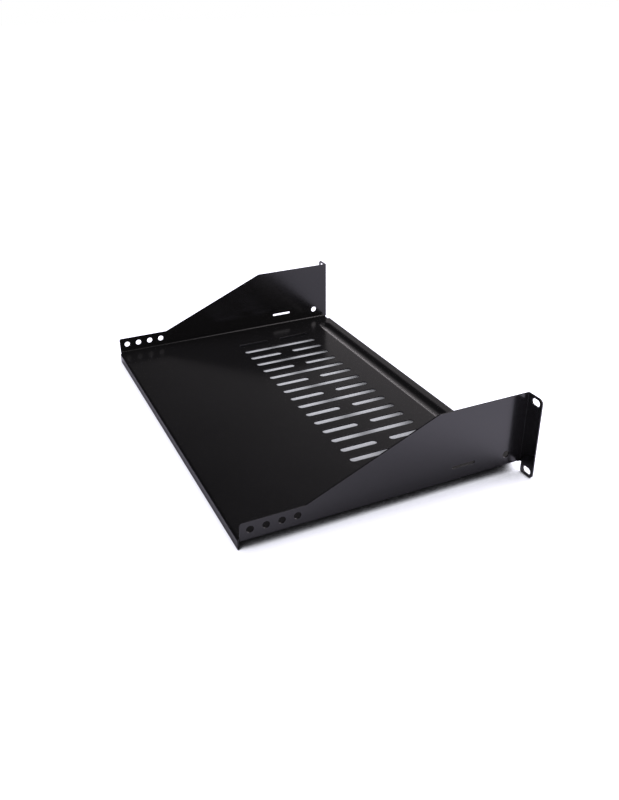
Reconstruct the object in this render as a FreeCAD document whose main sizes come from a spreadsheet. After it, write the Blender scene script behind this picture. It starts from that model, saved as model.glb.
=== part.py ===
import FreeCAD, Part
import os
import math
import Sketcher

# Cantilever rack shelf, two rack units high: one steel sheet, cut, pressed and folded.
#
# Axes while it is drawn: +X across the rack, +Y from the front of the rack to the rear, +Z up.
# X = 0 is the middle of the shelf, Y = 0 is the front face of the ears, and Z = 0 is the
# underside of the tray. The placement then moves the sheet so that it stands on Z = 0 with its
# middle over the origin.
#
# The right half is drawn first and mirrored: tray, pressed bead, lips, side fold and ear.
# The vent slots and the holes are cut through the whole shelf afterwards.

SIZES = [
    # the sheet and its folds
    ("sheet", 1.5, "thickness of the steel"),
    ("bend_radius", 1.0, "inner radius of every fold"),
    # the whole shelf
    ("rack_width", 482.6, "over both ears, the standard rack width"),
    ("body_width", 443.2, "over the outer faces of the side panels"),
    ("depth", 302.4, "front face of the ears to the rear face of the rear lip"),
    ("lip_depth", 10.4, "tray underside to the bottom of both lips and of the ears"),
    # the ears
    ("ear_height", 88.1, "two rack units less the usual clearance"),
    ("ear_hole_spacing", 465.1, "between the ear slots, across the rack"),
    ("ear_hole_pitch", 76.2, "between the ear slots, up the rack"),
    ("ear_slot_length", 11.0, "end to end, across the rack"),
    ("ear_slot_width", 7.0, "height of an ear slot"),
    ("ear_corner", 5.0, "radius of the outer corners"),
    ("ear_foot_gap", 0.5, "end of the ear's fold to the inner edge of the foot below it"),
    ("ear_foot_corner", 2.5, "radius of the foot's inner corner"),
    ("panel_foot", 0.5, "tray underside to the panel's edge beside the ear"),
    # the relief cuts at the corners of the tray
    ("front_relief_width", 12.1, "end of the front lip to the side fold"),
    ("front_relief_depth", 4.4, "front face to the end of the side fold"),
    ("rear_relief_width", 1.2, "end of the rear lip to the side fold"),
    ("rear_relief_depth", 1.0, "beyond the rear fold, into the tray"),
    ("panel_setback", 1.5, "rear face of the lip to the rear edge of the panels"),
    # the outline of the side panels
    ("panel_rear_height", 19.8, "tray underside to the low part of the panel"),
    ("taper_front", 103.0, "front face to the top of the slope"),
    ("taper_rear", 238.0, "front face to the bottom of the slope"),
    ("taper_corner", 6.0, "radius at both ends of the slope"),
    ("panel_corner", 2.5, "radius of the panel's rear corner"),
    # the pressed bead near the front edge of the tray
    ("bead_middle", 19.5, "front face to the centre line of the bead"),
    ("bead_half_width", 9.8, "centre line to the edge of the shoulder"),
    ("bead_depth", 2.2, "tray top to the lowest line of the bead"),
    ("bead_floor_radius", 12.9, "hollow radius of the upper surface"),
    ("bead_end_gap", 23.1, "end of the bead to the side fold"),
    # the vent slots
    ("vent_pitch", 21.0, "between neighbouring rows, across the tray"),
    ("vent_front", 54.5, "front face to the front end of the slots"),
    ("vent_length", 100.0, "long slot, end to end"),
    ("vent_short_length", 42.0, "short slot, end to end"),
    ("vent_width", 8.0, "every vent slot"),
    # the holes in the side panels
    ("rear_hole_diameter", 7.0, "four holes in a row near the rear"),
    ("rear_hole_pitch", 15.0, "between those holes"),
    ("rear_hole_inset", 9.5, "panel's rear edge to the centre of the last hole"),
    ("rear_hole_height", 11.4, "tray underside to those centres"),
    ("front_hole_diameter", 7.5, "single hole near the front"),
    ("front_hole_setback", 20.4, "front face to its centre"),
    ("front_hole_height", 13.3, "tray underside to its centre"),
    ("lacing_slot_length", 26.0, "narrow slot behind the front hole, end to end"),
    ("lacing_slot_width", 3.0, "height of that slot"),
    ("lacing_slot_setback", 70.8, "front face to its centre"),
    ("lacing_slot_height", 15.1, "tray underside to its centre"),
]

# Rows of slots and holes.
LONG_ROWS = 8
SHORT_ROWS = 9
REAR_HOLES = 4

# Expressions that several sketches share.
FOLD = "(Sizes.sheet + Sizes.bend_radius)"
PANEL = "(Sizes.body_width / 2)"
FLAT = f"({PANEL} - {FOLD})"
PANEL_REAR = "(Sizes.depth - Sizes.panel_setback)"
EAR_TOP = "(Sizes.ear_height - Sizes.lip_depth)"
EAR_MIDDLE = "(Sizes.ear_height / 2 - Sizes.lip_depth)"
EAR_EDGE = "(Sizes.rack_width / 2)"
EAR_FLAT = f"({PANEL} + Sizes.bend_radius)"
FOOT_EDGE = f"({EAR_FLAT} + Sizes.ear_foot_gap)"
LIP_END = f"({FLAT} - Sizes.rear_relief_width)"
BEAD_STRAIGHT = f"({FLAT} - Sizes.bead_end_gap - Sizes.bead_half_width)"

# Numbers that a sketch has for the places on its geometry and for its own axes. Its origin is the
# start of the axis across.
START, END, CENTRE = range(1, 4)
AXIS_ACROSS, AXIS_UP = range(-1, -3, -1)
ORIGIN = (AXIS_ACROSS, START)

# Slack for finding an edge by its place.
NEAR = 0.01

doc = FreeCAD.newDocument("CantileverRackShelf")

sheet = doc.addObject("Spreadsheet::Sheet", "Sizes")
for row, (name, size, meaning) in enumerate(SIZES, start=1):
    sheet.set(f"A{row}", name)
    sheet.set(f"B{row}", str(size))
    sheet.set(f"C{row}", meaning)
    sheet.setAlias(f"B{row}", name)
doc.recompute()

body = doc.addObject("PartDesign::Body", "FoldedShelf")
body.Label = "folded_shelf"


def value(expression):
    """Number that an expression on the sheet has now."""
    result = body.evalExpression(expression)
    return getattr(result, "Value", result)


def datum(role):
    """Plane or axis of the body's own origin."""
    for item in body.Origin.OriginFeatures:
        if item.Role == role:
            return item
    raise ValueError(role)


def new_sketch(name, plane, offset="0", shift="0"):
    """Sketch on an origin plane, moved along its normal by offset and along its first axis by shift."""
    sketch = body.newObject("Sketcher::SketchObject", name)
    sketch.AttachmentSupport = [(datum(plane), "")]
    sketch.MapMode = "FlatFace"
    sketch.setExpression("AttachmentOffset.Base.z", offset)
    sketch.setExpression("AttachmentOffset.Base.x", shift)
    doc.recompute()
    return sketch


def bind(sketch, kind, *args):
    """Dimension whose last argument is an expression, bound to the sheet."""
    *places, expression = args
    if kind in ("DistanceX", "DistanceY") and abs(value(expression)) < 1e-9:
        # A point with no distance from the origin lies on the other axis.
        axis = AXIS_UP if kind == "DistanceX" else AXIS_ACROSS
        sketch.addConstraint(Sketcher.Constraint("PointOnObject", *places[-2:], axis))
        return
    index = sketch.addConstraint(Sketcher.Constraint(kind, *places, value(expression)))
    sketch.setExpression(f"Constraints[{index}]", expression)


def pin(sketch, geometry, place, across, up):
    """Fix a point at two expressions, measured from the sketch's origin."""
    bind(sketch, "DistanceX", *ORIGIN, geometry, place, across)
    bind(sketch, "DistanceY", *ORIGIN, geometry, place, up)


def join(sketch, first, first_place, second, second_place):
    sketch.addConstraint(Sketcher.Constraint("Coincident", first, first_place, second, second_place))


def line(sketch, start, end):
    """Straight line between two points given as numbers."""
    return sketch.addGeometry(Part.LineSegment(FreeCAD.Vector(*start, 0), FreeCAD.Vector(*end, 0)))


def arc(sketch, centre, radius, first_degrees, last_degrees):
    """Arc that turns counterclockwise from the first angle to the last."""
    circle = Part.Circle(FreeCAD.Vector(*centre, 0), FreeCAD.Vector(0, 0, 1), radius)
    turn = Part.ArcOfCircle(circle, math.radians(first_degrees), math.radians(last_degrees))
    return sketch.addGeometry(turn)


def polygon(sketch, corners):
    """Closed outline through corners that are given as pairs of expressions."""
    points = [(value(across), value(up)) for across, up in corners]
    sides = [line(sketch, point, points[(i + 1) % len(points)]) for i, point in enumerate(points)]
    for i, side in enumerate(sides):
        join(sketch, side, END, sides[(i + 1) % len(sides)], START)
    for side, (across, up) in zip(sides, corners):
        pin(sketch, side, START, across, up)


def circle_at(sketch, across, up, diameter):
    """Full circle."""
    centre = FreeCAD.Vector(value(across), value(up), 0)
    ring = sketch.addGeometry(Part.Circle(centre, FreeCAD.Vector(0, 0, 1), value(diameter) / 2))
    pin(sketch, ring, CENTRE, across, up)
    bind(sketch, "Diameter", ring, diameter)


def slot_at(sketch, across, up, length, width, upright=False):
    """Slot with round ends, centred on a point, its long way across or up the sketch."""
    middle = (value(across), value(up))
    radius = value(width) / 2
    reach = value(length) / 2 - radius
    step = (0, reach) if upright else (reach, 0)
    side = (radius, 0) if upright else (0, -radius)
    far = (middle[0] + step[0], middle[1] + step[1])
    near = (middle[0] - step[0], middle[1] - step[1])
    turned = 90 if upright else 0
    cap = arc(sketch, far, radius, turned - 90, turned + 90)
    heel = arc(sketch, near, radius, turned + 90, turned + 270)
    right = line(sketch, (near[0] + side[0], near[1] + side[1]), (far[0] + side[0], far[1] + side[1]))
    left = line(sketch, (far[0] - side[0], far[1] - side[1]), (near[0] - side[0], near[1] - side[1]))
    for first, second in ((right, cap), (cap, left), (left, heel), (heel, right)):
        sketch.addConstraint(Sketcher.Constraint("Tangent", first, END, second, START))
    bind(sketch, "Radius", cap, f"{width} / 2")
    sketch.addConstraint(Sketcher.Constraint("Equal", cap, heel))
    offset = f"({length} - {width}) / 2"
    if upright:
        pin(sketch, cap, CENTRE, across, f"{up} + {offset}")
        pin(sketch, heel, CENTRE, across, f"{up} - {offset}")
    else:
        pin(sketch, cap, CENTRE, f"{across} + {offset}", up)
        pin(sketch, heel, CENTRE, f"{across} - {offset}", up)


def fold_section(sketch, centre, first_degrees, first_leg=None, last_leg=None):
    """Section of the sheet through a right-angled fold.

    The fold turns counterclockwise about centre from first_degrees. A leg runs on straight from
    an end of the fold, and is given as the place where it stops, along its own direction from the
    sketch's origin.
    """
    middle = (value(centre[0]), value(centre[1]))
    inner_radius = value("Sizes.bend_radius")
    outer_radius = value(FOLD)
    inner = arc(sketch, middle, inner_radius, first_degrees, first_degrees + 90)
    outer = arc(sketch, middle, outer_radius, first_degrees, first_degrees + 90)
    pin(sketch, inner, CENTRE, *centre)
    join(sketch, inner, CENTRE, outer, CENTRE)
    bind(sketch, "Radius", inner, "Sizes.bend_radius")
    bind(sketch, "Radius", outer, FOLD)

    for place, leg, degrees in ((START, first_leg, first_degrees), (END, last_leg, first_degrees + 90)):
        # The end of the fold lies level with its centre, or straight below or above it.
        level = degrees % 180 == 0
        for bend in (inner, outer):
            kind = "Horizontal" if level else "Vertical"
            sketch.addConstraint(Sketcher.Constraint(kind, bend, place, inner, CENTRE))
        out = (round(math.cos(math.radians(degrees))), round(math.sin(math.radians(degrees))))
        ends = [
            (middle[0] + radius * out[0], middle[1] + radius * out[1])
            for radius in (inner_radius, outer_radius)
        ]
        if leg is None:
            edge = line(sketch, *ends)
            join(sketch, inner, place, edge, START)
            join(sketch, outer, place, edge, END)
            continue
        stops = [(end[0], value(leg)) if level else (value(leg), end[1]) for end in ends]
        sides = [line(sketch, end, stop) for end, stop in zip(ends, stops)]
        edge = line(sketch, *stops)
        for side, bend, edge_place in zip(sides, (inner, outer), (START, END)):
            join(sketch, side, START, bend, place)
            join(sketch, side, END, edge, edge_place)
            sketch.addConstraint(Sketcher.Constraint("Vertical" if level else "Horizontal", side))
        sketch.addConstraint(Sketcher.Constraint("Horizontal" if level else "Vertical", edge))
        bind(sketch, "DistanceY" if level else "DistanceX", *ORIGIN, edge, START, leg)


def bead_curve(sketch, level, floor_radius, sides):
    """Upper or lower outline of the bead: a hollow floor with a shoulder at each side.

    The bead's centre line is the sketch's second axis. level is the flat tray surface that the
    shoulders run into. Returns the floor arc and the shoulder arcs.
    """
    half = value("Sizes.bead_half_width")
    drop = value("Sizes.bead_depth")
    wall = 2 * math.degrees(math.atan(drop / half))
    hollow = value(floor_radius)
    shoulder_radius = half / math.sin(math.radians(wall)) - hollow
    top = value(level)
    floor_centre = (0, top - drop + hollow)
    first = 270 - wall if -1 in sides else 270
    floor = arc(sketch, floor_centre, hollow, first, 270 + wall)
    bind(sketch, "Radius", floor, floor_radius)
    pin(sketch, floor, CENTRE, "0", f"{level} - Sizes.bead_depth + {floor_radius}")
    shoulders = []
    for sign in sides:
        centre = (sign * half, top - shoulder_radius)
        turn = (90, 90 + wall) if sign > 0 else (90 - wall, 90)
        shoulder = arc(sketch, centre, shoulder_radius, *turn)
        flat_end, wall_end = (START, END) if sign > 0 else (END, START)
        floor_end = END if sign > 0 else START
        pin(sketch, shoulder, flat_end, f"{sign} * Sizes.bead_half_width", level)
        sketch.addConstraint(Sketcher.Constraint("Vertical", shoulder, flat_end, shoulder, CENTRE))
        sketch.addConstraint(Sketcher.Constraint("Tangent", shoulder, wall_end, floor, floor_end))
        shoulders.append((shoulder, flat_end))
    return floor, shoulders


def bead_section(sketch, sides):
    """Section of the pressed bead, whole or on one side of its centre line only."""
    upper, upper_shoulders = bead_curve(sketch, "Sizes.sheet", "Sizes.bead_floor_radius", sides)
    lower, lower_shoulders = bead_curve(sketch, "0", "(Sizes.bead_floor_radius + Sizes.sheet)", sides)
    for (top, top_end), (bottom, bottom_end) in zip(upper_shoulders, lower_shoulders):
        edge = line(sketch, (0, 0), (0, 1))
        join(sketch, edge, START, bottom, bottom_end)
        join(sketch, edge, END, top, top_end)
    if -1 not in sides:
        for curve in (upper, lower):
            sketch.addConstraint(Sketcher.Constraint("PointOnObject", curve, START, AXIS_UP))
        edge = line(sketch, (0, 0), (0, 1))
        join(sketch, edge, START, lower, START)
        join(sketch, edge, END, upper, START)


def pad(name, sketch, length, reversed_way=False):
    """Add the sketch's outline as a plate of the given length."""
    feature = body.newObject("PartDesign::Pad", name)
    feature.Profile = sketch
    feature.Reversed = reversed_way
    feature.setExpression("Length", length)
    doc.recompute()
    return feature


def pocket(name, sketch):
    """Cut the sketch's outline right through the shelf, both ways from its plane."""
    feature = body.newObject("PartDesign::Pocket", name)
    feature.Profile = sketch
    feature.Type = "ThroughAll"
    feature.SideType = "Symmetric"
    doc.recompute()
    return feature


def row_of(name, feature, axis, spacing, count, reversed_way=False):
    """Repeat a cut along an origin axis."""
    pattern = body.newObject("PartDesign::LinearPattern", name)
    pattern.Originals = [feature]
    pattern.Direction = (datum(axis), [""])
    pattern.Reversed = reversed_way
    pattern.Mode = "Extent"
    pattern.setExpression("Length", f"{spacing} * {count - 1}")
    pattern.Occurrences = count
    body.Tip = pattern
    doc.recompute()
    return pattern


def round_edges(name, radius, axis, places):
    """Fillet the straight edges that run along an axis through the given places.

    A place is a pair of expressions on the other two axes, in X, Y, Z order.
    """
    base = body.Tip
    others = [i for i in range(3) if i != axis]
    wanted = [(value(first), value(second)) for first, second in places]
    names = []
    for index, edge in enumerate(base.Shape.Edges, start=1):
        start, end = edge.Vertexes[0].Point, edge.Vertexes[-1].Point
        run = [abs(end[i] - start[i]) for i in range(3)]
        if run[axis] < NEAR or max(run[i] for i in others) > NEAR:
            continue
        for spot in wanted:
            if all(abs(start[i] - at) < NEAR for i, at in zip(others, spot)):
                names.append(f"Edge{index}")
    feature = body.newObject("PartDesign::Fillet", name)
    feature.Base = (base, names)
    feature.setExpression("Radius", radius)
    doc.recompute()
    return feature


# Tray: the flat part between the folds, with the relief cuts at its corners.
tray_outline = new_sketch("TrayOutline", "XY_Plane")
front_lip_end = f"({FLAT} - Sizes.front_relief_width)"
rear_flat = f"(Sizes.depth - {FOLD})"
polygon(tray_outline, [
    ("0", FOLD),
    (front_lip_end, FOLD),
    (front_lip_end, "Sizes.front_relief_depth"),
    (FLAT, "Sizes.front_relief_depth"),
    (FLAT, f"{rear_flat} - Sizes.rear_relief_depth"),
    (LIP_END, f"{rear_flat} - Sizes.rear_relief_depth"),
    (LIP_END, rear_flat),
    ("0", rear_flat),
])
pad("Tray", tray_outline, "Sizes.sheet")

# Front and rear lips: folded down from the tray, ending level with the bottom of the ears.
front_lip_section = new_sketch("FrontLipSection", "YZ_Plane")
fold_section(front_lip_section, (FOLD, "-Sizes.bend_radius"), 90, last_leg="-Sizes.lip_depth")
pad("FrontLip", front_lip_section, front_lip_end)

rear_lip_section = new_sketch("RearLipSection", "YZ_Plane")
fold_section(rear_lip_section, (rear_flat, "-Sizes.bend_radius"), 0, first_leg="-Sizes.lip_depth")
pad("RearLip", rear_lip_section, LIP_END)

# Side panel: folded up from the tray. It is padded at full height, then cut to its outline.
side_section = new_sketch("SideSection", "XZ_Plane", offset="-Sizes.front_relief_depth")
fold_section(side_section, (FLAT, FOLD), 270, last_leg=EAR_TOP)
pad("SidePanel", side_section, f"{PANEL_REAR} - Sizes.front_relief_depth", reversed_way=True)

# Ear: folded outward from the front edge of the panel.
ear_section = new_sketch("EarSection", "XY_Plane", offset="Sizes.panel_foot")
fold_section(ear_section, (EAR_FLAT, FOLD), 180, "Sizes.front_relief_depth", EAR_EDGE)
pad("Ear", ear_section, f"{EAR_TOP} - Sizes.panel_foot")

# Foot of the ear: its flat runs on below the tray, clear of the panel.
foot_outline = new_sketch("EarFootOutline", "XZ_Plane")
polygon(foot_outline, [
    (FOOT_EDGE, "-Sizes.lip_depth"),
    (EAR_EDGE, "-Sizes.lip_depth"),
    (EAR_EDGE, "Sizes.panel_foot"),
    (FOOT_EDGE, "Sizes.panel_foot"),
])
pad("EarFoot", foot_outline, "Sizes.sheet", reversed_way=True)

# Slope of the side panel, from full height at the front to the low part at the rear.
slope_outline = new_sketch("SlopeOutline", "YZ_Plane")
clear_top = f"({EAR_TOP} + Sizes.sheet)"
polygon(slope_outline, [
    ("Sizes.taper_front", EAR_TOP),
    ("Sizes.taper_rear", "Sizes.panel_rear_height"),
    ("Sizes.depth", "Sizes.panel_rear_height"),
    ("Sizes.depth", clear_top),
    ("Sizes.taper_front", clear_top),
])
pocket("Slope", slope_outline)

# Pressed bead: an opening is made in the tray and filled with the dished section, straight along
# its length and turned half a circle at its end.
bead_opening = new_sketch("BeadOpening", "XY_Plane")
slot_at(
    bead_opening, "0", "Sizes.bead_middle",
    f"2 * {BEAD_STRAIGHT} + 2 * Sizes.bead_half_width", "(2 * Sizes.bead_half_width)",
)
pocket("BeadOpeningCut", bead_opening)

bead_straight = new_sketch("BeadSection", "YZ_Plane", shift="Sizes.bead_middle")
bead_section(bead_straight, sides=(-1, 1))
pad("Bead", bead_straight, BEAD_STRAIGHT)

bead_end = new_sketch("BeadEndSection", "YZ_Plane", offset=BEAD_STRAIGHT, shift="Sizes.bead_middle")
bead_section(bead_end, sides=(1,))
turned_end = body.newObject("PartDesign::Revolution", "BeadEnd")
turned_end.Profile = bead_end
turned_end.ReferenceAxis = (bead_end, ["V_Axis"])
turned_end.Angle = 180
turned_end.Reversed = True
doc.recompute()

# Rounded corners of the half: ear, foot, slope and rear corner of the panel.
round_edges("EarCorners", "Sizes.ear_corner", 1, [
    (EAR_EDGE, EAR_TOP),
    (EAR_EDGE, "-Sizes.lip_depth"),
])
round_edges("FootCorner", "Sizes.ear_foot_corner", 1, [(FOOT_EDGE, "-Sizes.lip_depth")])
round_edges("SlopeCorners", "Sizes.taper_corner", 0, [
    ("Sizes.taper_front", EAR_TOP),
    ("Sizes.taper_rear", "Sizes.panel_rear_height"),
])
round_edges("PanelCorner", "Sizes.panel_corner", 0, [(PANEL_REAR, "Sizes.panel_rear_height")])

# Left half.
whole = body.newObject("PartDesign::Mirrored", "BothHalves")
whole.TransformMode = "Whole shape"
whole.MirrorPlane = (datum("YZ_Plane"), [""])
body.Tip = whole
doc.recompute()

# Vent slots: rows of one long slot, and between them rows of two short slots.
vent_middle = "(Sizes.vent_front + Sizes.vent_length / 2)"
vent_spread = "((Sizes.vent_length - Sizes.vent_short_length) / 2)"
long_slot = new_sketch("LongVentOutline", "XY_Plane")
slot_at(
    long_slot, f"-Sizes.vent_pitch * {LONG_ROWS - 1}", vent_middle,
    "Sizes.vent_length", "Sizes.vent_width", upright=True,
)
long_vent = pocket("LongVent", long_slot)
row_of("LongVents", long_vent, "X_Axis", "2 * Sizes.vent_pitch", LONG_ROWS)

short_slots = new_sketch("ShortVentOutlines", "XY_Plane")
for side in ("-", "+"):
    slot_at(
        short_slots, f"-Sizes.vent_pitch * {SHORT_ROWS - 1}", f"{vent_middle} {side} {vent_spread}",
        "Sizes.vent_short_length", "Sizes.vent_width", upright=True,
    )
short_vents = pocket("ShortVentPair", short_slots)
row_of("ShortVents", short_vents, "X_Axis", "2 * Sizes.vent_pitch", SHORT_ROWS)

# Holes through both side panels.
rear_hole = new_sketch("RearHoleOutline", "YZ_Plane")
circle_at(
    rear_hole, f"{PANEL_REAR} - Sizes.rear_hole_inset", "Sizes.rear_hole_height",
    "Sizes.rear_hole_diameter",
)
rear_hole_cut = pocket("RearHole", rear_hole)
row_of("RearHoles", rear_hole_cut, "Y_Axis", "Sizes.rear_hole_pitch", REAR_HOLES, reversed_way=True)

front_cuts = new_sketch("FrontHoleOutlines", "YZ_Plane")
circle_at(
    front_cuts, "Sizes.front_hole_setback", "Sizes.front_hole_height", "Sizes.front_hole_diameter",
)
slot_at(
    front_cuts, "Sizes.lacing_slot_setback", "Sizes.lacing_slot_height",
    "Sizes.lacing_slot_length", "Sizes.lacing_slot_width",
)
pocket("FrontHoles", front_cuts)

# Slots in the ears for the rack screws.
ear_slots = new_sketch("EarSlotOutlines", "XZ_Plane")
for across in ("-", "+"):
    for up in ("-", "+"):
        slot_at(
            ear_slots, f"{across}Sizes.ear_hole_spacing / 2",
            f"{EAR_MIDDLE} {up} Sizes.ear_hole_pitch / 2",
            "Sizes.ear_slot_length", "Sizes.ear_slot_width",
        )
pocket("EarSlots", ear_slots)

# The shelf stands on its lips and ears, with its middle over the origin.
body.setExpression("Placement.Base.y", "-Sizes.depth / 2")
body.setExpression("Placement.Base.z", "Sizes.lip_depth")
doc.recompute()

for item in doc.Objects:
    if "Invalid" in item.State or "Error" in item.State:
        raise RuntimeError(f"{item.Name} failed: {item.State}")

shape = body.Shape
if shape.isNull() or not shape.isValid() or len(shape.Solids) != 1:
    raise RuntimeError("the folded sheet is not one valid solid")

os.makedirs("parts", exist_ok=True)
shape.exportStep(f"parts/{body.Label}.step")

box = shape.BoundBox
print(f"{body.Label}: {box.XLength:.2f} x {box.YLength:.2f} x {box.ZLength:.2f} mm,",
      f"volume {shape.Volume / 1000:.2f} cm3, {len(shape.Faces)} faces")
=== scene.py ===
"""Looks of a cantilever rack shelf: one sheet of steel, punched, pressed, folded and powder coated.

The shelf is shaped as its maker shapes it. The right half of the sheet is drawn as a bare surface
with its folds and its pressed bead, mirrored, and given its thickness. Then the vent slots and the
screw holes are punched and every cut edge is rounded, as the coat rounds it.

Lengths are in millimetres on the bench: X runs across the rack, Y from the front face of the ears
to the rear, and Z up from the underside of the tray. The finished sheet is moved into the frame,
in metres, at the end.
"""

import logging
import math
from dataclasses import dataclass, field
from enum import Enum

import bmesh
import bpy
from mathutils import Matrix, Vector


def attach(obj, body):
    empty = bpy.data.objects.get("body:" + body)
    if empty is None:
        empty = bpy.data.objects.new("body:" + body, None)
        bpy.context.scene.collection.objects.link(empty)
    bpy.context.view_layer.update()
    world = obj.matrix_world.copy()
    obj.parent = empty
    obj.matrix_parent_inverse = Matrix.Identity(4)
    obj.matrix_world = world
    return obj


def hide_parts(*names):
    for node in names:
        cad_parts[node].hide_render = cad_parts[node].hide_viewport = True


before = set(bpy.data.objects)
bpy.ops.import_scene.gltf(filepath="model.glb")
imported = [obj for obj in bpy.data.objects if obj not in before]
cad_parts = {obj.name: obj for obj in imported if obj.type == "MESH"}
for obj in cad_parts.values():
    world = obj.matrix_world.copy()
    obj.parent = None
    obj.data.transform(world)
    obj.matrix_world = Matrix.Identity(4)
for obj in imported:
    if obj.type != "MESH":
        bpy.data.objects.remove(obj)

LOG = logging.getLogger("rack_shelf")

# One millimetre in metres
MM = 0.001
# In millimetres: how far a place may be off, and the gap over which points are joined
SLACK = 0.01
WELD_GAP = SLACK / 10
# How far faces of one flat may turn, and the least cosine of a normal that counts as parallel
FLAT_ANGLE = math.radians(0.02)
PARALLEL = 1 - 1e-5
BLACK = (0.0, 0.0, 0.0)
WHITE = (1.0, 1.0, 1.0)

Pair = tuple[float, float]
Triple = tuple[float, float, float]
Stops = tuple[Pair, ...]
Span = float | Pair | None
Socket = bpy.types.NodeSocket


class Part(Enum):
    """What a selection on the bench picks."""

    POINTS = "VERT"
    EDGES = "EDGE"
    FACES = "FACE"


class Axis(Enum):
    """Directions of the bench."""

    ACROSS = (1.0, 0.0, 0.0)
    DEEP = (0.0, 1.0, 0.0)
    UP = (0.0, 0.0, 1.0)


class Tool(Enum):
    """Modifiers that shape or smooth a whole mesh."""

    MIRROR = "MIRROR"
    SOLIDIFY = "SOLIDIFY"
    BOOLEAN = "BOOLEAN"
    BEVEL = "BEVEL"
    WEIGHTED_NORMAL = "WEIGHTED_NORMAL"


class Maths(Enum):
    """Arithmetic that one node does."""

    ADD = "ADD"
    MULTIPLY = "MULTIPLY"
    MINIMUM = "MINIMUM"
    MAXIMUM = "MAXIMUM"
    EXPONENT = "EXPONENT"


@dataclass(frozen=True)
class Zone:
    """A box that picks geometry by its place. A side left out is unbounded."""

    x: Span = None
    y: Span = None
    z: Span = None

    def holds(self, point: Vector) -> bool:
        """Tells whether a point lies in the zone.

        Args:
            point: Place on the bench.

        Returns:
            True if the point is inside on all three axes.
        """
        for span, place in zip((self.x, self.y, self.z), point):
            if span is None:
                continue
            low, high = span if isinstance(span, tuple) else (span, span)
            if not low - SLACK <= place <= high + SLACK:
                return False
        return True


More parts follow.
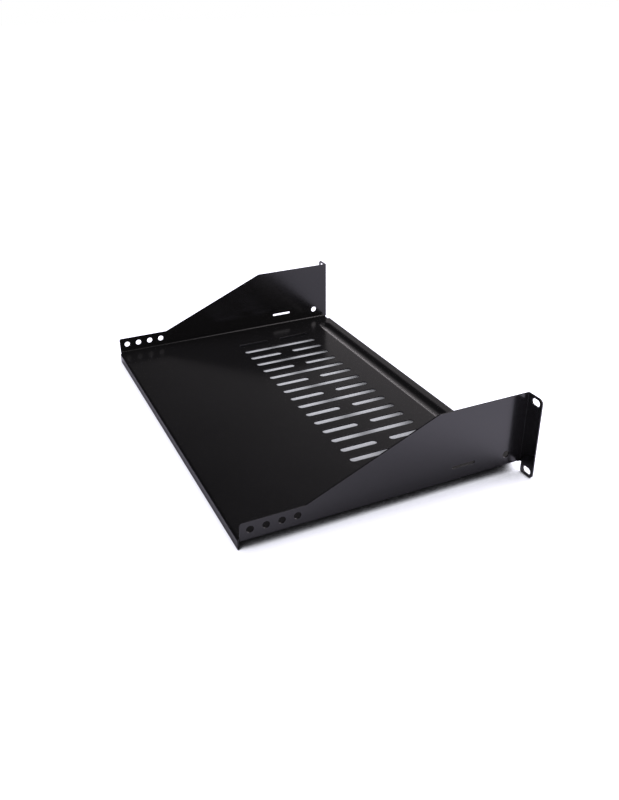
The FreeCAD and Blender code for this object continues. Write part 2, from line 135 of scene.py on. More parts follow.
class Bench:
    """A mesh object that is shaped in edit mode, with selections made by place."""

    def __init__(self, obj: bpy.types.Object) -> None:
        """Puts an object on the bench.

        Args:
            obj: Mesh object to shape.
        """
        self.obj = obj

    @classmethod
    def rectangle(cls, name: str, x: Pair, y: Pair, z: float) -> "Bench":
        """Starts a sheet from one flat rectangle.

        Args:
            name: Name of the new object.
            x: Left and right side.
            y: Front and rear side.
            z: Height.

        Returns:
            The bench with the rectangle on it.
        """
        clear_selection()
        centre = (sum(x) / 2, sum(y) / 2, z)
        bpy.ops.mesh.primitive_plane_add(size=1, location=centre)
        obj = bpy.context.object
        obj.name = name
        obj.scale = (x[1] - x[0], y[1] - y[0], 1)
        bpy.ops.object.transform_apply(location=True, rotation=True, scale=True)
        return cls(obj)

    def __enter__(self) -> "Bench":
        """Opens the mesh for editing.

        Returns:
            The bench itself.
        """
        clear_selection()
        self.obj.select_set(True)
        bpy.context.view_layer.objects.active = self.obj
        bpy.ops.object.mode_set(mode="EDIT")
        return self

    def __exit__(self, *failure: object) -> None:
        """Closes the mesh.

        Args:
            *failure: What went wrong while it was open, if anything. It isn't held back. Not used.
        """
        bpy.ops.object.mode_set(mode="OBJECT")

    def select(
        self, part: Part, zone: Zone, rim: bool = False, facing: Axis | None = None
    ) -> None:
        """Selects the geometry that lies wholly in a zone, and nothing else.

        Args:
            part: Points, edges or faces.
            zone: Where they lie.
            rim: Take only edges that border one face.
            facing: Take only faces whose normal runs along this axis, either way.

        Raises:
            ValueError: Nothing of that kind lies in the zone.
        """
        bpy.ops.mesh.select_mode(type=part.value)
        bpy.ops.mesh.select_all(action="DESELECT")
        mesh = bmesh.from_edit_mesh(self.obj.data)
        sources = {Part.POINTS: mesh.verts, Part.EDGES: mesh.edges, Part.FACES: mesh.faces}
        found = False
        for item in sources[part]:
            corners = [item] if part is Part.POINTS else item.verts
            if not all(zone.holds(corner.co) for corner in corners):
                continue
            if rim and len(item.link_faces) != 1:
                continue
            if facing and abs(item.normal.dot(Vector(facing.value))) < PARALLEL:
                continue
            item.select_set(True)
            found = True
        mesh.select_flush_mode()
        bmesh.update_edit_mesh(self.obj.data)
        if not found:
            raise ValueError(f"nothing of {self.obj.name} lies in {zone}")

    def extrude(self, x: float = 0, y: float = 0, z: float = 0) -> None:
        """Draws the selected edges out by a step, leaving the new edges selected.

        Args:
            x: Step across.
            y: Step towards the rear.
            z: Step up.
        """
        bpy.ops.mesh.extrude_region_move(TRANSFORM_OT_translate={"value": (x, y, z)})

    def turn(self, centre: Triple, axis: Axis, degrees: float, steps: int) -> None:
        """Sweeps the selected edges round an axis, leaving the last edges selected.

        Args:
            centre: A point on the axis.
            axis: Direction of the axis.
            degrees: Angle, by the right-hand rule. Blender's own spin turns the other way.
            steps: Number of flats that the sweep is made of.
        """
        angle = -math.radians(degrees)
        bpy.ops.mesh.spin(steps=steps, angle=angle, center=centre, axis=axis.value)

    def split(self, point: Triple, normal: Triple) -> None:
        """Cuts the selected faces along a plane.

        Args:
            point: A point on the plane.
            normal: Normal of the plane, of any length.
        """
        bpy.ops.mesh.bisect(plane_co=point, plane_no=Vector(normal).normalized())

    def round_corner(self, zone: Zone, offset: float, steps: int = 8) -> None:
        """Rounds the corners that lie in a zone.

        Args:
            zone: Where the corner points lie.
            offset: Distance from the corner to where the round starts.
            steps: Number of flats that the round is made of.
        """
        self.select(Part.POINTS, zone)
        bpy.ops.mesh.bevel(offset=offset, segments=steps, profile=0.5, affect="VERTICES")

    def weld(self) -> None:
        """Joins the points that lie in one place."""
        bpy.ops.mesh.select_all(action="SELECT")
        bpy.ops.mesh.remove_doubles(threshold=WELD_GAP)

    def flatten(self, zone: Zone, facing: Axis) -> None:
        """Turns the coplanar faces of a flat into as few faces as they need.

        Args:
            zone: Where the flat lies.
            facing: Axis that its faces are square to.
        """
        self.select(Part.FACES, zone, facing=facing)
        bpy.ops.mesh.dissolve_limited(angle_limit=FLAT_ANGLE)

    def modify(self, tool: Tool, **settings: object) -> None:
        """Applies one modifier to the whole mesh, outside edit mode.

        Args:
            tool: The modifier.
            **settings: Its settings, by name.
        """
        clear_selection()
        self.obj.select_set(True)
        bpy.context.view_layer.objects.active = self.obj
        modifier = self.obj.modifiers.new(tool.value.title(), tool.value)
        for name, setting in settings.items():
            setattr(modifier, name, setting)
        bpy.ops.object.modifier_apply(modifier=modifier.name)


def clear_selection() -> None:
    """Deselects every object."""
    bpy.ops.object.select_all(action="DESELECT")


def metres(*lengths: float) -> Vector:
    """Turns millimetres into metres."""
    return Vector(lengths) * MM


@dataclass
class Bead:
    """The pressed groove that stiffens the front of the tray."""

    middle: float = 19.5
    half_width: float = 9.8
    depth: float = 2.2
    floor_radius: float = 12.9
    half_length: float = 196.0
    arc_steps: int = 5
    end_steps: int = 28

    @property
    def straight(self) -> float:
        """Half length without the round end."""
        return self.half_length - self.half_width

    @property
    def wall(self) -> float:
        """Steepest angle of the section, in radians."""
        return 2 * math.atan(self.depth / self.half_width)

    def half_section(self) -> list[Pair]:
        """Works out the section from the front shoulder down to the lowest line.

        Returns:
            Places as distance from the centre line and height over the tray.
        """
        shoulder_radius = self.half_width / math.sin(self.wall) - self.floor_radius
        points = []
        for step in range(self.arc_steps):
            angle = self.wall * step / self.arc_steps
            across = -self.half_width + shoulder_radius * math.sin(angle)
            points.append((across, -shoulder_radius * (1 - math.cos(angle))))
        for step in range(self.arc_steps, -1, -1):
            angle = self.wall * step / self.arc_steps
            rise = self.floor_radius * (1 - math.cos(angle))
            points.append((-self.floor_radius * math.sin(angle), rise - self.depth))
        return points

    def section(self) -> list[Pair]:
        """Gives the whole section, from the front shoulder to the rear one."""
        half = self.half_section()
        return half + [(-across, height) for across, height in reversed(half[:-1])]

    def press(self, bench: Bench, top: float) -> None:
        """Presses the right half of the bead into the tray.

        Args:
            bench: The half sheet, with the tray still a flat grid of faces.
            top: Height of the tray's upper surface.
        """
        front, rear = self.middle - self.half_width, self.middle + self.half_width
        bench.select(Part.FACES, Zone(x=(0, self.half_length), y=(front, rear)))
        bpy.ops.mesh.delete(type="FACE")
        bench.select(Part.EDGES, Zone(x=(0, self.straight), y=front, z=top), rim=True)
        section = self.section()
        for start, end in zip(section, section[1:]):
            bench.extrude(y=end[0] - start[0], z=end[1] - start[1])
        bench.weld()
        bench.select(Part.EDGES, Zone(x=self.straight, y=(self.middle, rear)), rim=True)
        bench.turn((self.straight, self.middle, top), Axis.UP, -180, self.end_steps)
        bench.weld()
        for side in ((front, self.middle), (self.middle, rear)):
            corner = Zone(x=(self.straight, self.half_length), y=side, z=top)
            bench.select(Part.EDGES, corner, rim=True)
            bpy.ops.mesh.edge_face_add()


@dataclass
class Slot:
    """A punched hole with round ends. A round hole is a slot as long as it is wide."""

    length: float
    width: float
    axis: Axis
    along: Axis
    centres: list[Triple]
    reach: float
    facets: int = 48

    def bar(self) -> bpy.types.Object:
        """Makes the tool that punches one hole, upright and with the slot's length along X.

        Returns:
            The tool. Its flats touch the true round from outside.
        """
        clear_selection()
        half_step = math.pi / self.facets
        radius = self.width / 2 / math.cos(half_step)
        bpy.ops.mesh.primitive_cylinder_add(
            vertices=self.facets, radius=radius, depth=2 * self.reach, rotation=(0, 0, half_step)
        )
        bar = bpy.context.object
        bpy.ops.object.transform_apply(location=True, rotation=True, scale=True)
        half_straight = (self.length - self.width) / 2
        if half_straight > 0:
            with Bench(bar) as bench:
                for sign in (-1, 1):
                    low, high = sorted((0, sign * self.length))
                    bench.select(Part.POINTS, Zone(x=(low, high)))
                    bpy.ops.transform.translate(value=(sign * half_straight, 0, 0))
        return bar

    def punch(self) -> bpy.types.Object:
        """Makes the tool that punches all the holes of this kind.

        Returns:
            One object with a bar through the centre of every hole.
        """
        bar = self.bar()
        along, axis = Vector(self.along.value), Vector(self.axis.value)
        turned = Matrix((along, axis.cross(along), axis)).transposed()
        bars = []
        for centre in self.centres:
            copy = bar.copy()
            copy.data = bar.data.copy()
            copy.data.transform(Matrix.Translation(Vector(centre)) @ turned.to_4x4())
            bpy.context.collection.objects.link(copy)
            bars.append(copy)
        bpy.data.objects.remove(bar)
        return join(bars, "Punch")


def join(objects: list[bpy.types.Object], name: str) -> bpy.types.Object:
    """Joins several mesh objects into one.

    Args:
        objects: Objects to join.
        name: Name of the result.

    Returns:
        The joined object.
    """
    clear_selection()
    for obj in objects:
        obj.select_set(True)
    bpy.context.view_layer.objects.active = objects[0]
    bpy.ops.object.join()
    objects[0].name = name
    return objects[0]


@dataclass
class HolePlan:
    """Sizes and places of all the holes that are punched through the sheet."""

    vent_pitch: float = 21.0
    vent_front: float = 54.5
    vent_width: float = 8.0
    long_vent: float = 100.0
    short_vent: float = 42.0
    last_row: int = 8
    rear_hole: float = 7.0
    rear_hole_count: int = 4
    rear_hole_pitch: float = 15.0
    rear_hole_setback: float = 9.5
    rear_hole_height: float = 11.4
    front_hole: float = 7.5
    front_hole_place: Triple = (0.0, 20.4, 13.3)
    lacing_slot: Pair = (26.0, 3.0)
    lacing_place: Triple = (0.0, 70.8, 15.1)
    ear_slot: Pair = (11.0, 7.0)
    ear_spacing: Pair = (465.1, 76.2)
    punch_reach: float = 5.0

    def slots(self, panel: float, panel_rear: float, ear_middle: float) -> list[Slot]:
        """Lists the punched holes by kind.

        Args:
            panel: Outer face of the side panel.
            panel_rear: Rear edge of the side panel.
            ear_middle: Height of the middle of the ear.

        Returns:
            One entry for each kind of hole, with all its places.
        """
        reach, through = self.punch_reach, panel + self.punch_reach
        upright = (Axis.UP, Axis.DEEP)
        sideways = (Axis.ACROSS, Axis.DEEP)
        rear_start = panel_rear - self.rear_hole_setback
        rear_places = [
            (0, rear_start - self.rear_hole_pitch * step, self.rear_hole_height)
            for step in range(self.rear_hole_count)
        ]
        wide, high = self.ear_spacing
        ear_places = [
            (across * wide / 2, 0, ear_middle + up * high / 2)
            for across in (-1, 1)
            for up in (-1, 1)
        ]
        return [
            Slot(self.long_vent, self.vent_width, *upright, self.long_vents(), reach),
            Slot(self.short_vent, self.vent_width, *upright, self.short_vents(), reach),
            Slot(self.rear_hole, self.rear_hole, *sideways, rear_places, through),
            Slot(self.front_hole, self.front_hole, *sideways, [self.front_hole_place], through),
            Slot(*self.lacing_slot, *sideways, [self.lacing_place], through),
            Slot(*self.ear_slot, Axis.DEEP, Axis.ACROSS, ear_places, reach),
        ]

    def long_vents(self) -> list[Triple]:
        """Places the long vent slots, in every second row.

        Returns:
            The middle of each slot.
        """
        middle = self.vent_front + self.long_vent / 2
        rows = range(1 - self.last_row, self.last_row, 2)
        return [(self.vent_pitch * row, middle, 0) for row in rows]

    def short_vents(self) -> list[Triple]:
        """Places the short vent slots, two to each row between the long ones.

        Returns:
            The middle of each slot.
        """
        middle = self.vent_front + self.long_vent / 2
        spread = (self.long_vent - self.short_vent) / 2
        rows = range(-self.last_row, self.last_row + 1, 2)
        return [
            (self.vent_pitch * row, middle + side * spread, 0) for row in rows for side in (-1, 1)
        ]


@dataclass
class FoldedSheet:
    """The steel sheet: tray, side panels, ears and lips, with the bead and the punched holes."""

    sheet: float = 1.5
    bend_radius: float = 1.0
    rack_width: float = 482.6
    body_width: float = 443.2
    depth: float = 302.4
    lip_depth: float = 10.4
    height: float = 88.1
    front_relief_width: float = 12.1
    front_relief_depth: float = 4.4
    foot_slit: float = 0.1
    rear_relief_width: float = 1.2
    rear_relief_depth: float = 1.0
    panel_setback: float = 1.5
    panel_foot: float = 0.5
    panel_rear_height: float = 19.8
    taper_front: float = 103.0
    taper_rear: float = 238.0
    taper_corner: float = 6.0
    panel_corner: float = 2.5
    ear_corner: float = 5.0
    foot_gap: float = 0.5
    foot_corner: float = 2.5
    fold_steps: int = 10
    ear_bend_radius: float = 0.12
    edge_round: float = 0.18
    edge_steps: int = 3
    edge_angle: float = math.radians(50)
    flat_weight: int = 100
    bead: Bead = field(default_factory=Bead)
    holes: HolePlan = field(default_factory=HolePlan)

    @property
    def fold(self) -> float:
        """Outer radius of a fold."""
        return self.bend_radius + self.sheet

    @property
    def panel(self) -> float:
        """Outer face of the side panel."""
        return self.body_width / 2

    @property
    def flat(self) -> float:
        """Edge of the flat tray, where the side fold starts."""
        return self.panel - self.fold

    @property
    def inner(self) -> float:
        """Inner face of the side panel."""
        return self.panel - self.sheet

    @property
    def ear_fold(self) -> float:
        """Outer radius of the ear's fold, which is tighter than the others."""
        return self.ear_bend_radius + self.sheet

    @property
    def foot_edge(self) -> float:
        """Inner edge of the foot that hangs below the ear."""
        return self.panel + self.bend_radius + self.foot_gap

    @property
    def front_lip_end(self) -> float:
        """Side end of the front lip."""
        return self.flat - self.front_relief_width

    @property
    def rear_lip_end(self) -> float:
        """Side end of the rear lip."""
        return self.flat - self.rear_relief_width

    @property
    def tray_rear(self) -> float:
        """Rear edge of the flat tray, at the bottom of the rear relief cuts."""
        return self.depth - self.fold - self.rear_relief_depth

    @property
    def panel_rear(self) -> float:
        """Rear edge of the side panel."""
        return self.depth - self.panel_setback

    @property
    def top(self) -> float:
        """Top edge of the ears and the panels."""
        return self.height - self.lip_depth

    def build(self) -> bpy.types.Object:
        """Makes the whole sheet and moves it into the frame.

        Returns:
            The finished mesh object, with its place in its mesh.
        """
        bench = self.draw_tray()
        with bench:
            self.bead.press(bench, self.sheet)
            self.fold_lips(bench)
            self.fold_side(bench)
            self.cut_slope(bench)
            self.fold_ear(bench)
            self.clean_flats(bench)
            self.round_corners(bench)
        bench.modify(Tool.MIRROR, use_clip=True, merge_threshold=SLACK)
        with bench:
            self.face_outwards(bench)
        bench.modify(Tool.SOLIDIFY, thickness=self.sheet, offset=-1, use_even_offset=True)
        self.punch_holes(bench)
        bench.modify(
            Tool.BEVEL, width=self.edge_round, segments=self.edge_steps, limit_method="ANGLE",
            angle_limit=self.edge_angle, use_clamp_overlap=False,
        )
        self.move_to_frame(bench)
        clear_selection()
        bench.obj.select_set(True)
        bpy.ops.object.shade_smooth()
        weight = self.flat_weight
        bench.modify(Tool.WEIGHTED_NORMAL, mode="FACE_AREA", weight=weight, keep_sharp=False)
        return bench.obj

    def draw_tray(self) -> Bench:
        """Draws the right half of the flat tray as a grid, with a line at every later cut.

        Returns:
            The bench with the tray on it.
        """
        first = self.bead.straight
        deep = (self.front_relief_depth, self.tray_rear)
        bench = Bench.rectangle("folded_sheet", (0, first), deep, self.sheet)
        lines = [self.bead.half_length, self.front_lip_end, self.rear_lip_end, self.flat]
        with bench:
            bench.select(Part.EDGES, Zone(x=first))
            for last, line in zip([first] + lines, lines):
                bench.extrude(x=line - last)
            for step in (-self.bead.half_width, 0, self.bead.half_width):
                bench.select(Part.FACES, Zone())
                bench.split((0, self.bead.middle + step, 0), Axis.DEEP.value)
        return bench

    def fold_lips(self, bench: Bench) -> None:
        """Folds the front and the rear lip down from the tray.

        Args:
            bench: The half sheet.
        """
        lips = (
            (self.front_lip_end, self.front_relief_depth, self.fold, 90),
            (self.rear_lip_end, self.tray_rear, self.depth - self.fold, -90),
        )
        for end, edge, line, degrees in lips:
            bench.select(Part.EDGES, Zone(x=(0, end), y=edge), rim=True)
            bench.extrude(y=line - edge)
            bench.turn((0, line, -self.bend_radius), Axis.ACROSS, degrees, self.fold_steps)
            bench.extrude(z=self.bend_radius - self.lip_depth)

    def fold_side(self, bench: Bench) -> None:
        """Folds the side panel up from the tray, at its full height.

        Args:
            bench: The half sheet.
        """
        bench.select(Part.EDGES, Zone(x=self.flat, z=self.sheet), rim=True)
        bench.turn((self.flat, 0, self.fold), Axis.DEEP, -90, self.fold_steps)
        bench.extrude(z=self.top - self.fold)
        bench.select(Part.EDGES, Zone(x=(self.flat, self.inner), y=self.tray_rear), rim=True)
        bench.extrude(y=self.panel_rear - self.tray_rear)

    def cut_slope(self, bench: Bench) -> None:
        """Cuts the panel to its tapered outline.

        Args:
            bench: The half sheet.
        """
        low, high = self.panel_rear_height, self.top
        corner = (self.inner, self.taper_rear, low)
        bench.select(Part.FACES, Zone(x=self.inner))
        bench.split(corner, Axis.DEEP.value)
        bench.select(Part.FACES, Zone(x=self.inner, y=(self.taper_rear, self.depth)))
        bench.split(corner, Axis.UP.value)
        bench.select(Part.FACES, Zone(x=self.inner, y=(0, self.taper_rear)))
        bench.split(corner, (0, high - low, self.taper_rear - self.taper_front))
        waste = Zone(x=self.inner, y=(self.taper_front, self.depth), z=(low, high))
        bench.select(Part.FACES, waste)
        bpy.ops.mesh.delete(type="FACE")

    def fold_ear(self, bench: Bench) -> None:
        """Folds the ear outward from the panel's front edge, with the foot that hangs below it.

        Args:
            bench: The half sheet.
        """
        front = self.front_relief_depth
        bench.select(Part.EDGES, Zone(x=self.inner, y=front), rim=True)
        bench.extrude(y=-self.foot_slit)
        bench.extrude(y=self.ear_fold - front + self.foot_slit)
        below = Zone(x=self.inner, y=(self.ear_fold, front - self.foot_slit), z=self.fold)
        bench.select(Part.EDGES, below, rim=True)
        bench.extrude(z=self.panel_foot - self.fold)
        bench.select(Part.EDGES, Zone(x=self.inner, y=self.ear_fold), rim=True)
        start = self.panel + self.ear_bend_radius
        bench.turn((start, self.ear_fold, 0), Axis.UP, 90, self.fold_steps)
        bench.extrude(x=self.foot_edge - start)
        bench.extrude(x=self.rack_width / 2 - self.foot_edge)
        foot = Zone(x=(self.foot_edge, self.rack_width / 2), z=self.panel_foot)
        bench.select(Part.EDGES, foot, rim=True)
        bench.extrude(z=-self.lip_depth - self.panel_foot)

    def clean_flats(self, bench: Bench) -> None:
        """Joins the pieces that each flat was drawn from.

        Args:
            bench: The half sheet.
        """
        bench.weld()
        bench.flatten(Zone(z=self.sheet), Axis.UP)
        bench.flatten(Zone(x=self.inner), Axis.ACROSS)
        bench.flatten(Zone(y=0), Axis.DEEP)
        bench.flatten(Zone(y=self.depth), Axis.DEEP)

    def round_corners(self, bench: Bench) -> None:
        """Rounds the corners of the ear, its foot and the panel.

        Args:
            bench: The half sheet.
        """
        bench.round_corner(Zone(x=self.rack_width / 2, y=0), self.ear_corner)
        bench.round_corner(Zone(x=self.foot_edge, y=0, z=-self.lip_depth), self.foot_corner)
        slope = math.atan2(self.top - self.panel_rear_height, self.taper_rear - self.taper_front)
        tangent = self.taper_corner * math.tan(slope / 2)
        bench.round_corner(Zone(x=self.inner, y=self.taper_front, z=self.top), tangent)
        low = Zone(x=self.inner, y=self.taper_rear, z=self.panel_rear_height)
        bench.round_corner(low, tangent)
        rear = Zone(x=self.inner, y=self.panel_rear, z=self.panel_rear_height)
        bench.round_corner(rear, self.panel_corner)

    def face_outwards(self, bench: Bench) -> None:
        """Turns every face of the bare surface to the side of the tray's top.

        Args:
            bench: The whole sheet, still without thickness.
        """
        bpy.ops.mesh.select_all(action="SELECT")
        bpy.ops.mesh.normals_make_consistent(inside=False)
        mesh = bmesh.from_edit_mesh(bench.obj.data)
        tray = max(mesh.faces, key=lambda face: face.calc_area())
        if tray.normal.z < 0:
            bpy.ops.mesh.flip_normals()

    def punch_holes(self, bench: Bench) -> None:
        """Punches every slot and hole through the sheet.

        Args:
            bench: The whole sheet.
        """
        slots = self.holes.slots(self.panel, self.panel_rear, self.height / 2 - self.lip_depth)
        punch = join([slot.punch() for slot in slots], "Punches")
        bench.modify(Tool.BOOLEAN, operation="DIFFERENCE", solver="EXACT", object=punch)
        bpy.data.objects.remove(punch)
        with bench:
            bench.weld()

    def move_to_frame(self, bench: Bench) -> None:
        """Moves the sheet from the bench into the frame, in metres.

        Args:
            bench: The finished sheet.
        """
        shift = Matrix.Translation(metres(0, -self.depth / 2, self.lip_depth))
        bench.obj.data.transform(shift @ Matrix.Scale(MM, 4))


class Wiring:
    """A node tree, with short ways to add the nodes that this scene is made of."""

    def __init__(self, tree: bpy.types.NodeTree) -> None:
        """Takes hold of a node tree.

        Args:
            tree: Node tree to add to.
        """
        self.tree = tree

    def add(self, kind: str) -> bpy.types.Node:
        """Adds one node.

        Args:
            kind: Type of the node, without the word ShaderNode in front.

        Returns:
            The node.
        """
        return self.tree.nodes.new(f"ShaderNode{kind}")

    def feed(self, target: Socket, value: Socket | float) -> None:
        """Gives an input its value.

        Args:
            target: The input.
            value: An output to join it to, or a number.
        """
        if isinstance(value, Socket):
            self.tree.links.new(value, target)
        else:
            target.default_value = value

    def noise(self, place: Socket, scale: float, detail: float) -> Socket:
        """Adds a noise pattern.

        Args:
            place: Where the pattern is read.
            scale: Patches to the metre.
            detail: How many finer patterns lie on the first.

        Returns:
            The output with the pattern.
        """
        node = self.add("TexNoise")
        node.inputs["Scale"].default_value = scale
        node.inputs["Detail"].default_value = detail
        self.feed(node.inputs["Vector"], place)
        return node.outputs["Fac"]

    def mix(self, share: Socket, first: Triple, second: Triple) -> Socket:
        """Mixes two colours.

        Args:
            share: Share of the second colour.
            first: First colour.
            second: Second colour.

        Returns:
            The output with the colour.
        """
        node = self.add("Mix")
        node.data_type = "RGBA"
        node.inputs["A"].default_value = (*first, 1)
        node.inputs["B"].default_value = (*second, 1)
        self.feed(node.inputs["Factor"], share)
        return node.outputs["Result"]

    def ramp(self, value: Socket, stops: Stops) -> Socket:
        """Turns a value into a level, straight from one stop to the next.

        Args:
            value: What the level follows.
            stops: Value and level of each stop, in order.

        Returns:
            The output with the level.
        """
        node = self.add("ValToRGB")
        elements = node.color_ramp.elements
        for element, (position, level) in zip(elements, (stops[0], stops[-1])):
            element.position = position
            element.color = (level, level, level, 1)
        for position, level in stops[1:-1]:
            elements.new(position).color = (level, level, level, 1)
        self.feed(node.inputs["Fac"], value)
        return node.outputs["Color"]

    def fade(self, value: Socket, edge: Pair, top: float) -> Socket:
        """Fades smoothly from nothing to a top level.

        Args:
            value: What the fade follows.
            edge: Values where the fade starts and ends.
            top: Level past the end.

        Returns:
            The output with the level.
        """
        node = self.add("MapRange")
        node.interpolation_type = "SMOOTHSTEP"
        node.inputs["From Min"].default_value = edge[0]
        node.inputs["From Max"].default_value = edge[1]
        node.inputs["To Max"].default_value = top
        self.feed(node.inputs["Value"], value)
        return node.outputs["Result"]

    def along(self, direction: Socket, aim: Triple) -> Socket:
        """Measures a direction or a place along a fixed direction.

        Args:
            direction: The direction or the place to measure.
            aim: The fixed direction, of any length.

        Returns:
            The output with the dot product.
        """
        node = self.add("VectorMath")
        node.operation = "DOT_PRODUCT"
        node.inputs[1].default_value = aim
        self.feed(node.inputs[0], direction)
        return node.outputs["Value"]

    def combine(
        self, operation: Maths, first: Socket, second: Socket | float | None = None
    ) -> Socket:
        """Adds one step of arithmetic.

        Args:
            operation: What the node does.
            first: First value.
            second: Second value, where the operation has one.

        Returns:
            The output with the result.
        """
        node = self.add("Math")
        node.operation = operation.value
        self.feed(node.inputs[0], first)
        if second is not None:
            self.feed(node.inputs[1], second)
        return node.outputs["Value"]

    def background(self, colour: Triple, strength: Socket | float) -> Socket:
        """Adds a background of one colour.

        Args:
            colour: Its colour.
            strength: How bright it is.

        Returns:
            The output with the background.
        """
        node = self.add("Background")
        node.inputs["Color"].default_value = (*colour, 1)
        self.feed(node.inputs["Strength"], strength)
        return node.outputs["Background"]

    def choose(self, switch: Socket, otherwise: Socket, chosen: Socket) -> Socket:
        """Chooses between two shaders.

        Args:
            switch: One where the chosen shader counts, and nought elsewhere.
            otherwise: The shader that counts elsewhere.
            chosen: The chosen shader.

        Returns:
            The output with the shader.
        """
        node = self.add("MixShader")
        self.feed(node.inputs["Fac"], switch)
        self.feed(node.inputs[1], otherwise)
        self.feed(node.inputs[2], chosen)
        return node.outputs["Shader"]


@dataclass(frozen=True)
class PowderCoat:
    """Black satin powder coat, with the fine orange peel that it dries with, in metres."""

    colour: Triple = (0.0042, 0.0040, 0.0046)
    shades: Pair = (0.8, 1.25)
    roughness: float = 0.17
    roughness_spread: Pair = (-0.03, 0.04)
    ior: float = 1.65
    patch_scale: float = 9.0
    patch_detail: float = 5.0
    peel_size: float = 0.0016
    peel_depth: float = 0.000004
    peel_detail: float = 2.0

    def material(self) -> bpy.types.Material:
        """Builds the node material.

        Returns:
            The material.
        """
        material = bpy.data.materials.new("black_powder_coat")
        material.use_nodes = True
        wiring = Wiring(material.node_tree)
        shader = material.node_tree.nodes["Principled BSDF"]
        shader.inputs["IOR"].default_value = self.ior
        place = wiring.add("TexCoord").outputs["Object"]

        patches = wiring.noise(place, self.patch_scale, self.patch_detail)
        dark, light = (tuple(shade * part for part in self.colour) for shade in self.shades)
        wiring.feed(shader.inputs["Base Color"], wiring.mix(patches, dark, light))

        sheen = wiring.add("MapRange")
        sheen.inputs["To Min"].default_value = self.roughness + self.roughness_spread[0]
        sheen.inputs["To Max"].default_value = self.roughness + self.roughness_spread[1]
        wiring.feed(sheen.inputs["Value"], patches)
        wiring.feed(shader.inputs["Roughness"], sheen.outputs["Result"])

        peel = wiring.noise(place, 1 / self.peel_size, self.peel_detail)
        bump = wiring.add("Bump")
        bump.inputs["Strength"].default_value = 1
        bump.inputs["Distance"].default_value = self.peel_depth
        wiring.feed(bump.inputs["Height"], peel)
        wiring.feed(shader.inputs["Normal"], bump.outputs["Normal"])
        return material


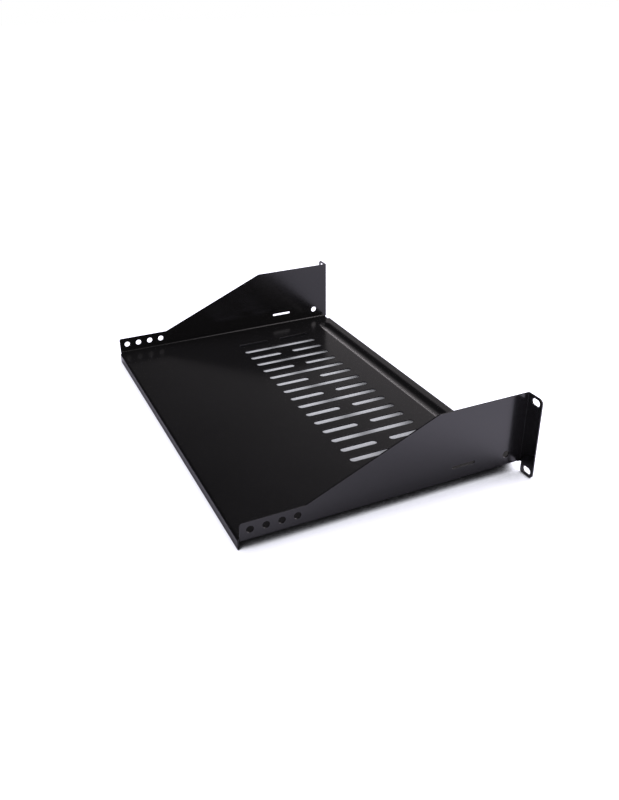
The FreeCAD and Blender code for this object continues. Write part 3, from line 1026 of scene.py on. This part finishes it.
@dataclass
class StudioFloor:
    """The pale floor. Sizes and places are in metres.

    The lamp lights it. To the camera it also glows where nothing is close above it, so it is white
    there; the glow fades to a painted shadow under the sheet and gives painted light under the vent
    slots. Its colour carries a painted contact shadow next to the sheet. The coat mirrors it
    without the glow, with painted shade behind the shelf and towards the far side.
    """

    size: float = 24.0
    colour: Triple = (0.86, 0.82, 0.98)
    glow_colour: Triple = (0.92, 0.92, 1.0)
    samples: int = 12
    shade_reach: float = 0.15
    # Glow with a painted shadow where the sheet is close above
    glow_painted_shadow_stops: Stops = (
        (0.24, 0.006), (0.28, 0.06), (0.34, 0.28), (0.42, 0.62), (0.50, 0.95), (0.56, 1.0),
    )
    # Painted light on the floor under the vent slots, with a painted shadow beyond the outer rows
    painted_slot_light_tilt: float = math.radians(30)
    painted_slot_light_stops: Stops = ((0.10, 0.0), (0.15, 0.28), (0.31, 0.44))
    painted_slot_shadow_sides: Stops = ((-0.185, -0.165), (0.184, 0.170))
    # Painted contact shadow in the floor's colour next to the sheet, kept lighter in mirror images
    painted_contact_shadow_reach: float = 0.04
    painted_contact_shadow_stops: Stops = ((0.50, 0.0), (0.68, 0.25), (0.82, 0.7), (0.95, 1.0))
    mirrored_painted_shadow_least: float = 0.85
    # Painted shade on the floor away from the near front side
    painted_light_side: Triple = (-0.6, -0.8, 0.0)
    painted_light_edge: Pair = (0.18, 0.34)
    painted_far_shade_level: float = 0.7
    # Painted shade on the floor behind the shelf, in mirror images only
    painted_rear_shade_edge: Pair = (0.153, 0.165)
    painted_rear_shade_depth: float = 0.9

    def build(self) -> None:
        """Lays the floor."""
        clear_selection()
        bpy.ops.mesh.primitive_plane_add(size=self.size)
        floor = bpy.context.object
        floor.name = "studio_floor"
        floor.data.materials.append(self.material())

    def material(self) -> bpy.types.Material:
        """Builds the node material.

        Returns:
            The material.
        """
        material = bpy.data.materials.new("pale_floor")
        material.use_nodes = True
        wiring = Wiring(material.node_tree)
        shader = material.node_tree.nodes["Principled BSDF"]
        shader.inputs["Roughness"].default_value = 1
        shader.inputs["Specular IOR Level"].default_value = 0
        shader.inputs["Emission Color"].default_value = (*self.glow_colour, 1)
        rays = wiring.add("LightPath").outputs
        place = wiring.add("TexCoord").outputs["Object"]
        # Base colour with painted contact shadow, and painted shade behind the shelf and away from
        # the near front
        painted_shade_share = self.painted_shade_level(wiring, place, rays["Is Glossy Ray"])
        wiring.feed(shader.inputs["Base Color"], wiring.mix(painted_shade_share, BLACK, self.colour))
        # Emission for the camera: white in the open, painted shadow under the sheet, painted light
        # under the slots
        glow = self.glow_with_painted_shade(wiring, place)
        seen = wiring.combine(Maths.MULTIPLY, glow, rays["Is Camera Ray"])
        wiring.feed(shader.inputs["Emission Strength"], seen)
        return material

    def painted_shade_level(self, wiring: Wiring, place: Socket, mirrored: Socket) -> Socket:
        """Works out the floor's colour share, with a painted contact shadow and painted shade.

        Args:
            wiring: Node tree of the floor.
            place: The place on the floor.
            mirrored: One where the coat mirrors the floor, and nought elsewhere.

        Returns:
            The output with the level.
        """
        # Painted shade behind the shelf, in mirror images only
        behind = wiring.fade(wiring.along(place, Axis.DEEP.value), self.painted_rear_shade_edge, -self.painted_rear_shade_depth)
        behind = wiring.combine(Maths.MULTIPLY, behind, mirrored)
        # Painted contact shadow: the colour darkens where the sheet is close above
        painted_shade_share = wiring.ramp(self.openness(wiring, 0, self.painted_contact_shadow_reach), self.painted_contact_shadow_stops)
        least = wiring.combine(Maths.MULTIPLY, mirrored, self.mirrored_painted_shadow_least)
        painted_shade_share = wiring.combine(Maths.MAXIMUM, painted_shade_share, least)
        painted_shade_share = wiring.combine(Maths.MULTIPLY, painted_shade_share, wiring.combine(Maths.ADD, behind, 1))
        # Painted shade: the colour is full only towards the near front side
        pale = wiring.fade(wiring.along(place, self.painted_light_side), self.painted_light_edge, 1 - self.painted_far_shade_level)
        return wiring.combine(Maths.MULTIPLY, painted_shade_share, wiring.combine(Maths.ADD, pale, self.painted_far_shade_level))

    def glow_with_painted_shade(self, wiring: Wiring, place: Socket) -> Socket:
        """Works out the glow, with painted shadow under the sheet and painted light under the
        slots.

        Args:
            wiring: Node tree of the floor.
            place: The place on the floor.

        Returns:
            The output with the level.
        """
        # Painted light under the vent slots
        slots = wiring.ramp(
            self.openness(wiring, self.painted_slot_light_tilt, self.shade_reach), self.painted_slot_light_stops
        )
        across = wiring.along(place, Axis.ACROSS.value)
        # Painted shadow of the side panels over the outer slot rows
        for side in self.painted_slot_shadow_sides:
            slots = wiring.combine(Maths.MULTIPLY, slots, wiring.fade(across, side, 1))
        # Painted shadow in the glow where the sheet is close above
        glow = wiring.ramp(self.openness(wiring, 0, self.shade_reach), self.glow_painted_shadow_stops)
        return wiring.combine(Maths.MAXIMUM, glow, slots)

    def openness(self, wiring: Wiring, tilt: float, reach: float) -> Socket:
        """Measures how open the floor is to what hangs over it.

        Args:
            wiring: Node tree of the floor.
            tilt: Angle by which the measure leans to the far side.
            reach: Distance up to which things count.

        Returns:
            The output with the share that is open.
        """
        leaning = wiring.add("CombineXYZ")
        leaning.inputs["X"].default_value = math.sin(tilt)
        leaning.inputs["Z"].default_value = math.cos(tilt)
        shade = wiring.add("AmbientOcclusion")
        shade.samples = self.samples
        shade.inputs["Distance"].default_value = reach
        wiring.feed(shade.inputs["Normal"], leaning.outputs["Vector"])
        return shade.outputs["AO"]


@dataclass
class KeyLamp:
    """The wide soft lamp overhead. It lights the floor and the sheet, and isn't mirrored itself."""

    strength: float = 1.5 * math.pi
    angle: float = math.radians(80)
    tilt: Pair = (math.radians(26), math.radians(26))

    def build(self) -> None:
        """Hangs the lamp over the far side and towards the front."""
        lamp = bpy.data.lights.new("overhead_softbox", "SUN")
        lamp.energy = self.strength
        lamp.angle = self.angle
        obj = bpy.data.objects.new("overhead_softbox", lamp)
        obj.rotation_euler = (*self.tilt, 0)
        obj.visible_glossy = False
        bpy.context.collection.objects.link(obj)


@dataclass
class Surroundings:
    """The world: white to the camera, an even fill, and what the coat mirrors.

    In mirror images the walls are pale towards the front and fade upwards, the far side is dark,
    and a softbox and a dim ceiling hang overhead.
    """

    fill_strength: float = 0.08
    wall_bearings: tuple[Triple, ...] = ((0.0, -6.2, 0.0), (-5.0, 0.0, 0.0), (-7.4, 6.2, 0.0))
    wall_height: Triple = (0.0, 0.0, -5.5)
    wall_level: float = -1.66
    wall_range: Pair = (0.02, 0.32)
    wall_colour: Triple = (1.0, 0.94, 0.97)
    horizon_aim: Triple = (0.0, 0.0, -1.0)
    horizon_edge: Pair = (-0.22, 0.02)
    horizon_strength: float = 2.0
    softbox_aim: Triple = (-0.15, -0.60, 0.786)
    softbox_edge: Pair = (0.90, 0.955)
    softbox_strength: float = 3.0
    ceiling_edge: Pair = (0.75, 0.9)
    ceiling_strength: float = 0.25

    def build(self) -> None:
        """Makes the world."""
        world = bpy.data.worlds.new("studio")
        bpy.context.scene.world = world
        world.use_nodes = True
        world.node_tree.nodes.clear()
        wiring = Wiring(world.node_tree)
        mirrored = wiring.background(self.wall_colour, self.mirrored_level(wiring))
        fill = wiring.background(WHITE, self.fill_strength)
        seen = wiring.background(WHITE, 1)
        rays = wiring.add("LightPath").outputs
        unseen = wiring.choose(rays["Is Glossy Ray"], fill, mirrored)
        output = wiring.add("OutputWorld")
        wiring.feed(output.inputs["Surface"], wiring.choose(rays["Is Camera Ray"], unseen, seen))

    def mirrored_level(self, wiring: Wiring) -> Socket:
        """Works out how bright the coat mirrors each direction.

        Args:
            wiring: Node tree of the world.

        Returns:
            The output with the strength.
        """
        direction = wiring.add("TexCoord").outputs["Generated"]
        bearings = [wiring.along(direction, bearing) for bearing in self.wall_bearings]
        side = bearings[0]
        for bearing in bearings[1:]:
            side = wiring.combine(Maths.MAXIMUM, side, bearing)
        height = wiring.along(direction, self.wall_height)
        height = wiring.combine(Maths.ADD, height, self.wall_level)
        walls = wiring.combine(Maths.EXPONENT, wiring.combine(Maths.ADD, side, height))
        low, high = self.wall_range
        down = wiring.along(direction, self.horizon_aim)
        horizon = wiring.fade(down, self.horizon_edge, self.horizon_strength)
        walls = wiring.combine(Maths.MINIMUM, walls, wiring.combine(Maths.ADD, horizon, high))
        walls = wiring.combine(Maths.MAXIMUM, walls, low)
        aside = wiring.along(direction, self.softbox_aim)
        softbox = wiring.fade(aside, self.softbox_edge, self.softbox_strength)
        up = wiring.along(direction, Axis.UP.value)
        ceiling = wiring.fade(up, self.ceiling_edge, self.ceiling_strength)
        return wiring.combine(Maths.ADD, wiring.combine(Maths.ADD, walls, ceiling), softbox)


@dataclass
class Studio:
    """The pale floor, the soft light and what the coat mirrors."""

    floor: StudioFloor = field(default_factory=StudioFloor)
    key: KeyLamp = field(default_factory=KeyLamp)
    surroundings: Surroundings = field(default_factory=Surroundings)

    def build(self) -> None:
        """Makes the floor, the lamp and the world."""
        self.floor.build()
        self.key.build()
        self.surroundings.build()


@dataclass
class Viewpoint:
    """The camera, behind the shelf to its left and a little above it. Places are in metres."""

    place: Triple = (-0.73754, 0.32171, 0.43324)
    aim: Triple = (0.80284, -0.37235, -0.46562)
    roll: float = math.radians(-0.67)
    lens: float = 35.228
    sensor: float = 36.0
    farthest: float = 100.0

    def build(self) -> None:
        """Makes the camera and looks through it."""
        data = bpy.data.cameras.new("camera")
        data.sensor_fit = "VERTICAL"
        data.sensor_height = self.sensor
        data.lens = self.lens
        data.clip_end = self.farthest
        camera = bpy.data.objects.new("camera", data)
        turned = Vector(self.aim).to_track_quat("-Z", "Y").to_matrix().to_4x4()
        rolled = Matrix.Rotation(self.roll, 4, "Z")
        camera.matrix_world = Matrix.Translation(self.place) @ turned @ rolled
        bpy.context.collection.objects.link(camera)
        bpy.context.scene.camera = camera


def main() -> None:
    """Builds the shelf, the studio and the camera, and logs the sheet's face count."""
    logging.basicConfig(level=logging.INFO, format="%(message)s")
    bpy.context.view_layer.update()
    sheet = FoldedSheet().build()
    sheet.data.materials.clear()
    sheet.data.materials.append(PowderCoat().material())
    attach(sheet, "root")
    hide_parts("folded_shelf")
    LOG.info("%s: %d faces", sheet.name, len(sheet.data.polygons))
    Studio().build()
    Viewpoint().build()
    scene = bpy.context.scene
    scene.view_settings.view_transform = "Standard"


if __name__ == "__main__":
    main()
